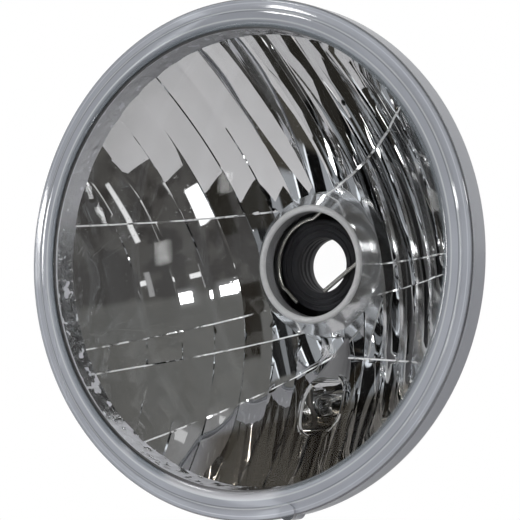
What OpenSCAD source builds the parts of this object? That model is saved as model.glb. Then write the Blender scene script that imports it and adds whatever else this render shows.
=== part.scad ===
// Round 178 mm headlight insert: clear lens, many-faceted reflector, bulb seat with
// a sprung wire clip, rubber boot and a small position lamp below the bulb.
// Millimetres. The lamp faces -Y, +Z is up, and the origin is the centre of the
// rear face of the rim, which seats in the headlight shell.

/* [Rim and lens] */
// Outer diameter of the rim
rim_d = 178; // [174:0.5:184]
// Thickness of the rim from front to back
rim_t = 10.2; // [9:0.1:12]
// Width of the flat band round the lens
band_w = 10; // [9:0.1:12]
// Height of the lens dome in front of the band
dome_h = 20; // [14:0.5:26]
// Wall of the lens dome and of the flat band
lens_wall = 3; // [2.4:0.1:3.4]
// Wall of the skirt that closes the rim outside
skirt_wall = 2.8; // [2:0.1:3.4]
// Radius of the rim's front outer edge
rim_round = 1.2; // [0.6:0.1:1.8]
// Width of the rim's lower outer step
rim_step_w = 4.4; // [3:0.2:5]
// How far the outer step lies behind the band
rim_step = 0.7; // [0.3:0.1:1.2]
// Diameter of the locating nub at the bottom of the rim
nub_d = 5.6; // [4:0.2:8]
// How far the locating nub stands out of the rim
nub_out = 1.2; // [0.6:0.1:2]

/* [Reflector] */
// Focal length of the bowl
focal = 30; // [28:0.25:33]
// Depth of the bowl's vertex behind the seat face
vertex_depth = 51; // [45:0.5:62]
// Moulded wall of the bowl
bowl_wall = 2.8; // [2.4:0.1:3.4]
// Thickness of the rear flange
flange_t = 3; // [2.4:0.1:3.6]
// Width of the ridge that stands in the rim's groove
ridge_w = 2; // [1.4:0.1:2.6]
// Width of one vertical facet column
column_w = 9.5; // [8.5:0.5:11]
// Width of the draft between two facets
facet_draft = 0.5; // [0.3:0.1:0.8]
// Sag across one facet column
facet_sag = 0.2; // [0.1:0.05:0.5]
// Sag across one flute of the lowest row
flute_sag = 0.4; // [0.2:0.05:0.6]
// Height of the steps between facet rows
facet_step = 0.7; // [0.3:0.05:0.9]

/* [Bulb seat] */
// Diameter of the bulb hole
bulb_hole_d = 38; // [36:0.5:39]
// Height of the collar's front edge above the bowl's vertex
collar_rise = 12.6; // [11:0.2:15]
// Wall of the collar's front lip
lip_wall = 2.5; // [2:0.1:3.5]
// Depth of the bulb's seat behind the collar's front edge
seat_depth = 6; // [5:0.25:7]
// Diameter of the pocket behind the bulb's seat
pocket_d = 45.8; // [44.6:0.1:47]
// Width of the ledge round the pocket
ledge_w = 3.4; // [3.2:0.1:4]
// Inner length of the rear neck behind the ledge
neck_l = 12.5; // [11:0.5:16]
// Wall of the rear neck
neck_wall = 3.7; // [3:0.1:5]
// Thickness of the pressed steel seat ring
ring_t = 0.8; // [0.6:0.1:1]
// Depth of the three notches for the bulb's tabs
notch_deep = 2; // [1.2:0.1:2.6]
// Width of the three notches
notch_w = 8; // [6:0.5:10]
// Diameter of the rivets that hold the seat ring
rivet_d = 1.8; // [1.4:0.1:2]
// Diameter of the clip's spring wire
wire_d = 1.6; // [1.2:0.1:1.8]
// Distance of the clip's straight leg below the lamp's axis
leg_drop = 8.9; // [6:0.1:11]
// How far the clip's bowed leg lies inside the bulb hole
bow_inset = 1.6; // [1.2:0.1:3]

/* [Rubber boot] */
// Opening through the boot
boot_hole_d = 20; // [17:0.5:22]
// Outer diameter of the boot's front tube
boot_tube_d = 34; // [30:0.5:35]
// Length of the boot's opening
boot_tube_l = 11; // [9:0.5:13]
// Wall of the boot's sleeve
boot_wall = 2.6; // [2:0.1:4]
// Length of the sleeve on the neck
boot_grip = 9; // [7:0.5:10]
// Height of the boot's two rear rings
boot_ring_h = 0.8; // [0.4:0.1:1.2]
// Length of the boot's pull tabs
tab_l = 9; // [6:0.5:12]
// Width of the boot's pull tabs
tab_w = 11; // [8:0.5:14]
// Thickness of the boot's pull tabs
tab_t = 2.2; // [1.6:0.1:3]

/* [Position lamp] */
// Distance of the position lamp below the lamp's axis
pilot_drop = 52; // [50:0.5:55]
// Width of the position lamp's upright oval niche
niche_d = 16.4; // [15:0.2:19]
// How far the niche's two centres lie above and below its middle
niche_stretch = 2; // [0.5:0.1:4]
// Depth of the niche's floor behind the bowl's surface
niche_sink = 12; // [10:0.5:14]
// Diameter of the hole in the niche's floor
pilot_hole_d = 11; // [10.4:0.2:12]
// Wall of the socket tube round the niche
socket_wall = 1.8; // [1.6:0.1:3]
// Length of the socket tube behind the niche's floor
socket_l = 7; // [6:0.5:10]
// Diameter of the small bulb's glass
pilot_glass_d = 8.6; // [7.4:0.2:9]
// Length of the small bulb's glass in front of its cap
pilot_glass_l = 13; // [11:0.5:16]
// Diameter of the small bulb's cap
pilot_cap_d = 9; // [8.4:0.1:9.2]
// Radius of the fairing that runs from the niche to the collar
fairing_r = 7.6; // [6:0.2:9]
// Slant of the niche's mouth, towards the lamp's axis
mouth_slant = 35; // [20:1:42]

/* [Back] */
// Number of ribs between the bowl and the neck
rib_n = 8; // [6:1:12]
// Thickness of a rib
rib_t = 2; // [1.6:0.1:3]
// Height of a rib above the bowl beside the neck
rib_h = 3.4; // [2:0.2:5]
// Radius at which the ribs run out
rib_r = 62; // [50:1:68]
// Number of locating lugs on the rear flange
lug_n = 3; // [3:1:6]
// Height of the locating lugs
lug_h = 1.5; // [1:0.1:2.5]
// Width of the locating lugs
lug_w = 6; // [4:0.5:10]
// Distance of the breather from the lamp's axis
vent_r = 60; // [55:1:66]
// Direction of the breather, anticlockwise from the right
vent_dir = 52; // [35:1:60]

/* [Hidden] */
$fn = 96;

rim_r = rim_d / 2;
band_r = rim_r - band_w;
band_back = rim_t - lens_wall;
dome_r = (band_r * band_r + dome_h * dome_h) / (2 * dome_h);
dome_centre = rim_t + dome_h - dome_r;
groove_r = rim_r - skirt_wall;
step_r = rim_r - rim_step_w;
step_a = rim_t - rim_step;
wall_draft = 0.8;
land_w = 2;
sealant_gap = 0.6;
edge_break = 0.4;
nub_l = 6.4;
nub_proud = 0.5;
arc_steps = 28;

// Where the inside of the dome meets the back of the band.
land_r = sqrt(pow(dome_r - lens_wall, 2) - pow(band_back - dome_centre, 2));
bowl_r = land_r - wall_draft;
flange_r = groove_r - 0.3;
ridge_r = (land_r + land_w + groove_r) / 2;

chamber_back = -vertex_depth - 10;
chamber_front = band_back + 5;
lug_deep = 3.4;
lug_inset = 0.6;

bore_r = bulb_hole_d / 2;
lip_round = 1;
lip_front = collar_rise - vertex_depth;
lip_r = bore_r + lip_wall;
seat_a = lip_front - seat_depth;
pocket_r = pocket_d / 2;
collar_base_r = pocket_r + 3;
neck_in_r = pocket_r + ledge_w;
neck_r = neck_in_r + neck_wall;
ledge_a = seat_a - 5.4;
neck_end = ledge_a - neck_l;
clip_end_r = neck_in_r - wire_d / 2 - 0.4;
clip_slant = 22;
clip_gap = 0.5;
keeper_w = 4;
keeper_gap = 0.15;
keeper_turns = [-11, 25];
notch_n = 3;
ring_fit = 0.1;
rivet_n = 3;
rivet_l = 2;
rivet_head_h = 0.7;

boot_front = seat_a - ring_t - wire_d - 0.5;
boot_hole_end = boot_front - boot_tube_l;
boot_end = min(neck_end - boot_wall, boot_hole_end - 2.5);
boot_web = 3;
boot_bead = 0.8;
boot_round = 1.6;
tab_hole_r = 2;

rib_foot = neck_end + boot_grip + 1;
rib_step = 3;
rib_bend = 5;

pilot_floor_t = 2.6;
niche_r = niche_d / 2;
socket_r = niche_r + socket_wall;
niche_a = -vertex_depth + pilot_drop * pilot_drop / (4 * focal) - niche_sink;
socket_back = niche_a - pilot_floor_t;
socket_end = socket_back - socket_l;
pilot_hole_r = pilot_hole_d / 2;
mouth_lift = 1.6;
mouth_a = niche_a + niche_sink + mouth_lift;
well_r = niche_r - 0.4;
fairing_x = 6.5;
fairing_sink = 2.2;
fairing_end = pilot_drop - 5;
fairing_tip_r = collar_base_r + 3.5;
fairing_tip = 0.6;
grommet_rim = 2;
holder_r = pilot_hole_r - 0.2;
holder_rim = 1.8;
holder_floor = 1.6;
holder_end = socket_end - 4;
contact_x = 2.6;
contact_t = 0.8;
contact_w = 3.2;
contact_l = 8;
cap_r = pilot_cap_d / 2;
cap_front = niche_a + 2.4;
glass_wall = 0.7;
stem_r = 2;
stem_l = 3.4;
lead_x = 1.3;
lead_r = 0.25;
lead_l = pilot_glass_l - 8;
filament_l = 3.2;

vent_x = vent_r * cos(vent_dir);
vent_z = vent_r * sin(vent_dir);
vent_tube_r = 3;
vent_hole_r = 1;
vent_wall = 1.8;
vent_l = 5;

// Front surface of the smooth bowl and of its back at a radius.
function bowl(r) = -vertex_depth + r * r / (4 * focal);
function bowl_back(r) = bowl(r) - bowl_wall * sqrt(1 + pow(r / (2 * focal), 2));
function bowl_back_r(a) = let(k = 1 / (4 * focal), c = -vertex_depth - a)
    // Two steps of a fixed-point search are enough for the flange's inner corner.
    let(r0 = sqrt((bowl_wall * 1.68 - c) / k))
    sqrt((bowl_wall * sqrt(1 + pow(r0 / (2 * focal), 2)) - c) / k);

// The breather's cap clears the bowl on its inner side.
vent_root = bowl_back(vent_r - vent_tube_r - vent_wall);

// A profile in (radius, forward) coordinates, turned about the lamp's axis.
module turned() rotate([90, 0, 0]) rotate_extrude() children();
// A solid drawn with its forward direction along +Z, set on the lamp's axis.
module forward(x = 0, z = 0, a = 0) translate([x, -a, z]) rotate([90, 0, 0]) children();
module rod(x, z, a0, a1, r) forward(x, z, min(a0, a1)) cylinder(r = r, h = abs(a1 - a0));

// LENS

function dome_arc(radius, a_end) = let(end = acos((a_end - dome_centre) / radius))
    [for (i = [0 : arc_steps]) let(t = end * i / arc_steps)
        [radius * sin(t), dome_centre + radius * cos(t)]];
function reversed(list) = [for (i = [len(list) - 1 : -1 : 0]) list[i]];
function quarter(cx, cy, r, t0) =
    [for (i = [0 : 4]) let(t = t0 + i * 90 / 4) [cx + r * cos(t), cy + r * sin(t)]];

module lens() {
    color([0.80, 0.84, 0.88, 0.5]) {
        turned() polygon(concat(
            reversed(dome_arc(dome_r, rim_t)),
            dome_arc(dome_r - lens_wall, band_back),
            [[groove_r, band_back], [groove_r, 0], [rim_r - edge_break, 0], [rim_r, edge_break]],
            quarter(rim_r - rim_round, step_a - rim_round, rim_round, 0),
            [[step_r + rim_step, step_a], [step_r, rim_t]]
        ));
        difference() {
            rod(0, -(rim_r + nub_out - nub_d / 2), step_a - nub_l, rim_t + nub_proud, nub_d / 2);
            rod(0, 0, -1, band_back, groove_r);
        }
    }
}

module lens_sealant() {
    color([0.62, 0.66, 0.70])
    turned() difference() {
        translate([land_r + land_w, flange_t])
            square([groove_r - land_r - land_w, band_back - flange_t]);
        translate([ridge_r - ridge_w / 2, flange_t])
            square([ridge_w, band_back - flange_t - sealant_gap]);
    }
}

// REFLECTOR

// Facet columns are counted from the middle one. Rows are listed from the bottom up,
// each with its lower border's height at the axis, that border's slope outwards, and
// its mesh segments. The two halves of the bowl have rows of their own.
column_n = ceil(bowl_r / column_w - 0.5);
field_edge = bowl_r + 3;
left_rows = [[-field_edge, 0, 4], [-34.5, -0.28, 5], [-22.5, 0, 3], [-9.5, -0.045, 4], [22, 0.14, 5]];
right_rows = [[-field_edge, 0, 4], [-34.5, -0.28, 5], [-14.5, -0.11, 3], [-1.2, -0.21, 4], [22, 0.2, 5]];
row_n = len(left_rows);

// A small repeatable number between -1 and 1 for a facet.
function whim(c, k) = let(v = sin(c * 97.3 + k * 151.7 + 31) * 43.7) 2 * (v - floor(v)) - 1;

// Height of a facet above the smooth bowl. u and v run from -1 to 1 across it.
function facet(c, k, u, v) =
    (k == 0 ? -flute_sag : facet_sag) * (1 - u * u) + facet_step * (
        0.5 * whim(c, k) * v + 0.3 * whim(c + 3, k + 1) * u + 0.45 * whim(k, 3) + 0.25 * whim(c + 7, k + 2));

columns = [for (c = [-column_n : column_n]) for (u = [-1, 0, 1])
    [c, u, column_w * (c + u / 2) - u * facet_draft / 2]];
function border(k, x) = k == row_n ? field_edge
    : let(row = x > 0 ? right_rows[k] : left_rows[k]) row[0] + row[1] * abs(x);
function row_points(x) = [for (k = [0 : row_n - 1])
    let(low = border(k, x) + facet_draft / 2, high = border(k + 1, x) - facet_draft / 2, n = left_rows[k][2])
    for (j = [0 : n]) let(v = 2 * j / n - 1) [k, v, low + (high - low) * (v + 1) / 2]];

function field_point(col, row) = let(x = col[2], z = row[2])
    [x, z, bowl(sqrt(x * x + z * z)) + facet(col[0], row[0], col[1], row[1])];

// Everything in front of the facets, as one closed solid.
module field_space() {
    grid = [for (col = columns) [for (row = row_points(col[2])) field_point(col, row)]];
    nx = len(grid);
    nz = len(grid[0]);
    points = concat(
        [for (line = grid) for (p = line) p],
        [for (i = [0, nx - 1]) for (j = [0, nz - 1]) [grid[i][j][0], grid[i][j][1], chamber_front]]
    );
    t = nx * nz;
    faces = concat(
        [for (i = [0 : nx - 2]) for (j = [0 : nz - 2]) [i * nz + j, (i + 1) * nz + j + 1, i * nz + j + 1]],
        [for (i = [0 : nx - 2]) for (j = [0 : nz - 2]) [i * nz + j, (i + 1) * nz + j, (i + 1) * nz + j + 1]],
        [[t, t + 1, t + 3, t + 2]],
        [concat([t + 1, t], [for (j = [0 : nz - 1]) j])],
        [concat([t + 2, t + 3], [for (j = [nz - 1 : -1 : 0]) (nx - 1) * nz + j])],
        [concat([t, t + 2], [for (i = [nx - 1 : -1 : 0]) i * nz])],
        [concat([t + 3, t + 1], [for (i = [0 : nx - 1]) i * nz + nz - 1])]
    );
    rotate([90, 0, 0]) polyhedron(points, faces);
}

// The collar's front edge, rounded from the bore to the outside.
lip_edge = [for (t = [180 : -22.5 : 0])
    [bore_r + lip_wall / 2 * (1 + cos(t)), lip_front - lip_round * (1 - sin(t))]];

module bowl_cavity() {
    difference() {
        intersection() {
            field_space();
            turned() polygon(concat(
                [[0, lip_front]], lip_edge,
                [[collar_base_r, bowl(collar_base_r)], [collar_base_r, chamber_back], [bowl_r, chamber_back],
                    [bowl_r, bowl(bowl_r)], [land_r, band_back], [land_r, chamber_front], [0, chamber_front]]
            ));
        }
        boss();
        fairing();
    }
}

// An upright oval solid round the position lamp, between two depths.
module slot(a0, a1, r) {
    for (s = [-1, 1]) rod(0, s * niche_stretch - pilot_drop, a0, a1, r);
    translate([-r, -max(a0, a1), -pilot_drop - niche_stretch]) cube([2 * r, abs(a1 - a0), 2 * niche_stretch]);
}

// The niche's raised mouth, cut off slanting like the bowl around it.
module boss() {
    reach = pilot_drop;
    intersection() {
        slot(niche_a, 0, socket_r);
        translate([0, -mouth_a, -pilot_drop]) rotate([-mouth_slant, 0, 0])
            translate([-reach / 2, 0, -reach / 2]) cube([reach, reach, reach]);
    }
}

// A cone half sunk in the bowl, from beside the collar to the niche.
module fairing() {
    tip = [fairing_x, -bowl(norm([fairing_x, fairing_tip_r])), -fairing_tip_r];
    foot = [0, fairing_sink - bowl(fairing_end), -fairing_end];
    way = foot - tip;
    l = norm(way);
    translate(tip) rotate([0, acos(way[2] / l), atan2(way[1], way[0])])
        cylinder(r1 = fairing_tip, r2 = fairing_r, h = l);
}

module reflector_blank() {
    inner = bowl_back_r(0);
    turned() polygon(concat(
        [[bore_r, seat_a], [bore_r, band_back], [land_r + land_w, band_back], [land_r + land_w, flange_t],
            [ridge_r - ridge_w / 2, flange_t], [ridge_r - ridge_w / 2, band_back - sealant_gap],
            [ridge_r + ridge_w / 2, band_back - sealant_gap], [ridge_r + ridge_w / 2, flange_t],
            [flange_r, flange_t], [flange_r, 0], [inner, 0]],
        [for (i = [1 : 12]) let(r = inner + (neck_r - inner) * i / 12) [r, bowl_back(r)]],
        [[neck_r, neck_end], [neck_in_r, neck_end], [neck_in_r, ledge_a], [pocket_r, ledge_a],
            [pocket_r, seat_a]]
    ));
    for (i = [0 : rib_n - 1]) rotate([0, 360 * (i + 0.5) / rib_n, 0]) rib();
    for (i = [0 : lug_n - 1]) rotate([0, 90 + 360 * i / lug_n, 0]) lug();
    slot(socket_end, bowl(pilot_drop + niche_stretch + socket_r), socket_r);
    rod(vent_x, vent_z, vent_root - vent_l, bowl(vent_r - vent_tube_r) - bowl_wall / 2, vent_tube_r);
}

module rib() {
    inner = neck_r - 1;
    outer = neck_r + rib_bend;
    steps = 6;
    linear_extrude(rib_t, center = true) polygon(concat(
        [[inner, -rib_foot], [neck_r + rib_step, -rib_foot]],
        [for (i = [0 : steps]) let(r = outer + (rib_r - outer) * i / steps)
            [r, rib_h * (1 - i / steps) - bowl_back(r)]],
        [for (i = [steps : -1 : 0]) let(r = inner + (rib_r - inner) * i / steps)
            [r, -bowl_back(r) - bowl_wall / 3]]
    ));
}

module lug() {
    translate([flange_r - lug_inset - lug_deep, 0, -lug_w / 2]) cube([lug_deep, lug_h, lug_w]);
}

module reflector() {
    color([0.78, 0.79, 0.80])
    difference() {
        reflector_blank();
        bowl_cavity();
        slot(niche_a, 0, niche_r);
        rod(0, -pilot_drop, socket_end - 1, niche_a + 1, pilot_hole_r);
        rod(0, -pilot_drop, socket_end - 1, socket_back, well_r);
        rod(vent_x, vent_z, vent_root - vent_l - 1, 0, vent_hole_r);
        for (i = [0 : rivet_n - 1]) rivet_place(i) rod(0, 0, ledge_a - 1, ledge_a + rivet_l, rivet_d / 2);
    }
}

// BULB SEAT

module rivet_place(i) {
    t = 90 + i * 360 / rivet_n;
    r = pocket_r + ledge_w / 2;
    translate([r * cos(t), 0, r * sin(t)]) children();
}

module bulb_seat_ring() {
    wall_r = pocket_r - ring_fit;
    brim_r = neck_in_r - ring_fit * 3;
    color([0.72, 0.73, 0.75])
    difference() {
        turned() polygon([
            [bore_r, seat_a], [bore_r, seat_a - ring_t], [wall_r - ring_t, seat_a - ring_t],
            [wall_r - ring_t, ledge_a - ring_t], [brim_r, ledge_a - ring_t], [brim_r, ledge_a],
            [wall_r, ledge_a], [wall_r, seat_a]
        ]);
        for (i = [0 : notch_n - 1]) rotate([0, 30 + 360 * i / notch_n, 0])
            translate([bore_r - 1, -seat_a - 1, -notch_w / 2]) cube([notch_deep + 1, ring_t + 2, notch_w]);
        for (i = [0 : rivet_n - 1]) rivet_place(i) rod(0, 0, ledge_a - ring_t - 1, ledge_a + 1, rivet_d / 2);
    }
    color([0.72, 0.73, 0.75])
    for (t = keeper_turns) rotate([0, -clip_slant - t, 0]) keeper();
}

// A tab bent up from the ring, over the wire.
module keeper() {
    foot = -(ledge_a - ring_t);
    high = wire_d + keeper_gap;
    post = clip_end_r - wire_d / 2 - keeper_gap * 2 - ring_t;
    translate([post, foot - ring_t / 2, -keeper_w / 2]) cube([ring_t, high + ring_t * 1.5, keeper_w]);
    translate([post, foot + high, -keeper_w / 2]) cube([wire_d + ring_t + keeper_gap * 2, ring_t, keeper_w]);
}

module seat_rivets() {
    color([0.62, 0.63, 0.65])
    for (i = [0 : rivet_n - 1]) rivet_place(i) {
        rod(0, 0, ledge_a - ring_t, ledge_a + rivet_l, rivet_d / 2);
        rod(0, 0, ledge_a - ring_t - rivet_head_h, ledge_a - ring_t, rivet_d * 0.83);
    }
}

// A round wire along a list of points, each ring square to the wire's direction.
function unit(v) = v / norm(v);
function tangent(path, i) = unit(path[min(i + 1, len(path) - 1)] - path[max(i - 1, 0)]);
function side_of(d) = unit(cross(d, abs(d[1]) < 0.8 ? [0, 1, 0] : [1, 0, 0]));
module wire(path, r, sides = 8) {
    n = len(path);
    rings = [for (i = [0 : n - 1])
        let(d = tangent(path, i), s = side_of(d), w = cross(d, s))
        for (k = [0 : sides - 1]) let(t = 360 * k / sides) path[i] + r * (s * cos(t) + w * sin(t))];
    polyhedron(rings, concat(
        [[for (k = [0 : sides - 1]) k]],
        [for (i = [0 : n - 2]) for (k = [0 : sides - 1]) let(m = (k + 1) % sides)
            [i * sides + k, (i + 1) * sides + k, (i + 1) * sides + m]],
        [for (i = [0 : n - 2]) for (k = [0 : sides - 1]) let(m = (k + 1) % sides)
            [i * sides + k, (i + 1) * sides + m, i * sides + m]],
        [[for (k = [sides - 1 : -1 : 0]) (n - 1) * sides + k]]
    ));
}

module retaining_clip() {
    // One wire: a straight leg below, out to the ledge, and back as a bowed leg above.
    lie = -(seat_a - ring_t - wire_d / 2);
    out = -(ledge_a - ring_t - wire_d / 2);
    bow_r = bore_r - bow_inset;
    side_r = pocket_r - ring_t - wire_d / 2 - clip_gap;
    side_x = sqrt(side_r * side_r - leg_drop * leg_drop);
    path = concat(
        [for (x = [-4, 3, 10, side_x - 0.6]) [x, lie, -leg_drop]],
        [[side_x, (lie + out) / 2, -leg_drop], [side_x + 0.6, out, -leg_drop]],
        [for (t = [-16 : 8 : 32]) [clip_end_r * cos(t), out, clip_end_r * sin(t)]],
        [[side_r * cos(40) + 0.4, out, side_r * sin(40) + 0.4]],
        [[side_r * cos(43), (lie + out) / 2, side_r * sin(43)]],
        [[side_r * cos(47), lie, side_r * sin(47)]],
        [for (t = [62 : 11 : 172]) [bow_r * cos(t), lie, bow_r * sin(t)]],
        [for (t = [182 : 9 : 200]) [(bow_r - 1) * cos(t), lie, (bow_r - 1) * sin(t)]]
    );
    color([0.75, 0.74, 0.70])
    rotate([0, -clip_slant, 0]) wire(path, wire_d / 2);
}

module dust_boot() {
    hole_r = boot_hole_d / 2;
    tube_r = boot_tube_d / 2;
    sleeve_r = neck_r + boot_wall;
    sleeve_front = neck_end + boot_grip;
    color([0.10, 0.10, 0.11]) {
        turned() polygon(concat(
            [[hole_r, boot_front], [tube_r, boot_front], [tube_r, boot_hole_end + boot_web],
                [neck_in_r - 0.5, neck_end], [neck_r, neck_end], [neck_r, sleeve_front],
                [neck_r + boot_bead, sleeve_front + boot_bead], [sleeve_r + boot_bead, sleeve_front],
                [sleeve_r + boot_bead, sleeve_front - 2], [sleeve_r, sleeve_front - 2.6]],
            boot_ring(sleeve_r, sleeve_front - 3.8), boot_ring(sleeve_r, sleeve_front - 6.4),
            [[sleeve_r, boot_end + boot_round], [sleeve_r - boot_round, boot_end], [neck_in_r - 1, boot_end],
                [tube_r + 1, boot_hole_end - 0.4], [hole_r + 2, boot_hole_end - 1.4], [hole_r, boot_hole_end]]
        ));
        for (s = [-1, 1]) rotate([0, 90 - 90 * s, 0]) pull_tab(sleeve_r);
    }
}

// Profile of one grip ring round the sleeve, from its front side to its back.
function boot_ring(r, a) = [[r, a], [r + boot_ring_h, a - 0.4], [r + boot_ring_h, a - 1], [r, a - 1.4]];

module pull_tab(r) {
    inner = r - boot_wall / 2;
    round = tab_w / 2;
    difference() {
        union() {
            translate([inner, -boot_end - tab_t - boot_round, -round])
                cube([r + tab_l - round - inner, tab_t, tab_w]);
            rod(r + tab_l - round, 0, boot_end + boot_round, boot_end + boot_round + tab_t, round);
        }
        rod(r + tab_l - round, 0, boot_end, boot_end + boot_round + tab_t + 1, tab_hole_r);
    }
}

// POSITION LAMP

module pilot_grommet() {
    color([0.12, 0.12, 0.13])
    forward(0, -pilot_drop, socket_end - grommet_rim) difference() {
        union() {
            cylinder(r = well_r, h = socket_back - socket_end + grommet_rim);
            cylinder(r = socket_r + 0.6, h = grommet_rim);
        }
        translate([0, 0, -1]) cylinder(r = holder_r, h = socket_l + grommet_rim + 2);
    }
}

module pilot_holder() {
    color([0.85, 0.84, 0.80])
    difference() {
        union() {
            rod(0, -pilot_drop, holder_end, niche_a + 0.8, holder_r);
            rod(0, -pilot_drop, holder_end, socket_end - grommet_rim, holder_r + holder_rim);
        }
        rod(0, -pilot_drop, holder_end + holder_floor, niche_a + 2, cap_r);
        contacts(holder_end - 1, holder_end + holder_floor + 1);
    }
}

// Two flat blades, side by side, from one depth to another.
module contacts(a0, a1) {
    for (s = [-1, 1]) translate([s * contact_x - contact_t / 2, -a1, -pilot_drop - contact_w / 2])
        cube([contact_t, a1 - a0, contact_w]);
}

module pilot_contacts() {
    color([0.80, 0.68, 0.38]) contacts(holder_end + holder_floor - contact_l, holder_end + holder_floor);
}

module pilot_bulb_cap() {
    color([0.80, 0.72, 0.48])
    rod(0, -pilot_drop, holder_end + holder_floor, cap_front, cap_r);
}

module pilot_bulb_glass() {
    r = pilot_glass_d / 2;
    color([0.90, 0.92, 0.94, 0.5])
    forward(0, -pilot_drop, cap_front) rotate_extrude() difference() {
        bulb_half(r);
        bulb_half(r - glass_wall);
    }
}

// Half of a bulb's outline: a straight wall with a round top.
module bulb_half(r) {
    straight = pilot_glass_l - pilot_glass_d / 2;
    square([r, straight]);
    intersection() {
        translate([0, straight]) circle(r);
        square([r, pilot_glass_l]);
    }
}

module pilot_bulb_stem() {
    color([0.88, 0.90, 0.92])
    forward(0, -pilot_drop, cap_front) {
        cylinder(r = stem_r, h = stem_l);
        for (s = [-1, 1]) translate([s * lead_x, 0, stem_l]) cylinder(r = lead_r, h = lead_l);
    }
}

module pilot_filament() {
    color([0.55, 0.52, 0.48])
    translate([-filament_l / 2, -cap_front - stem_l - lead_l - lead_r, -pilot_drop]) rotate([0, 90, 0])
        cylinder(r = lead_r, h = filament_l);
}

module breather_cap() {
    color([0.10, 0.10, 0.11])
    difference() {
        rod(vent_x, vent_z, vent_root - vent_l - vent_wall, vent_root - 1, vent_tube_r + vent_wall);
        rod(vent_x, vent_z, vent_root - vent_l, vent_root, vent_tube_r);
    }
}

lens();
lens_sealant();
reflector();
bulb_seat_ring();
seat_rivets();
retaining_clip();
dust_boot();
pilot_grommet();
pilot_holder();
pilot_contacts();
pilot_bulb_cap();
pilot_bulb_glass();
pilot_bulb_stem();
pilot_filament();
breather_cap();
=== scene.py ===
import math

import bmesh
import bpy
from bpy.props import FloatProperty, FloatVectorProperty, IntProperty, PointerProperty
from mathutils import Matrix, Vector


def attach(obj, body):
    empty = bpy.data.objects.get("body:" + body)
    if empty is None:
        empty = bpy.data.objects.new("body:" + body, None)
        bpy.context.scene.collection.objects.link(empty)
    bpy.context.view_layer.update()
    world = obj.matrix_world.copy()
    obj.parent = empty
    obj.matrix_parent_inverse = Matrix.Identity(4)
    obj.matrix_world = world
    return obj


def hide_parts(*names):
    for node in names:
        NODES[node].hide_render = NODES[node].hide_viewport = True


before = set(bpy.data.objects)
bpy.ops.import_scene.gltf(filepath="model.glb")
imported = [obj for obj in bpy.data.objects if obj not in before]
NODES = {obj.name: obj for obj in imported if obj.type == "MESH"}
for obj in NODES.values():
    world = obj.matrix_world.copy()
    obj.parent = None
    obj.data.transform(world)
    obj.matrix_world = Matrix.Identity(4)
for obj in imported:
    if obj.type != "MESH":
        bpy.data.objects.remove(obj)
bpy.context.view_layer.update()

bl_info = {
    "name": "Round Motorcycle Headlight",
    "version": (1, 0, 0),
    "blender": (4, 5, 0),
    "location": "View3D > Sidebar > Headlight",
    "description": "Dresses a faceted headlight insert: lens, reflector, bulb seat, boot and position lamp",
    "category": "Object",
}

MM = 0.001
TURN_STEPS = 192
DOUBLES = 1e-7
VENT_DIRECTION = 52.0
FAIRING_TIP = 0.6
BEAD = 0.9

# Finishes of the reflector, in the order of its materials
MIRROR, BARE, SATIN, ROW_STEP, SOFT, WALL = range(6)

# Painted highlights and one painted dark line on the rim's moulded ridges: distance out from the band's inner edge,
# half width and tone
PAINTED_RIDGE_LIGHT_AND_SHADE = ((2.7, 0.45, 1.5), (5.3, 0.3, 0.55), (5.8, 0.3, 1.5), (8.2, 0.3, 1.3))


# Sizes and colours

def length(name, description, default_mm, low_mm=0.0, high_mm=400.0):
    return FloatProperty(name=name, description=description, default=default_mm * MM, min=low_mm * MM,
                         max=high_mm * MM, subtype="DISTANCE", unit="LENGTH", precision=4)


def colour(name, description, default):
    return FloatVectorProperty(name=name, description=description, default=default, size=3, min=0.0, max=1.0,
                               subtype="COLOR")


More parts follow.
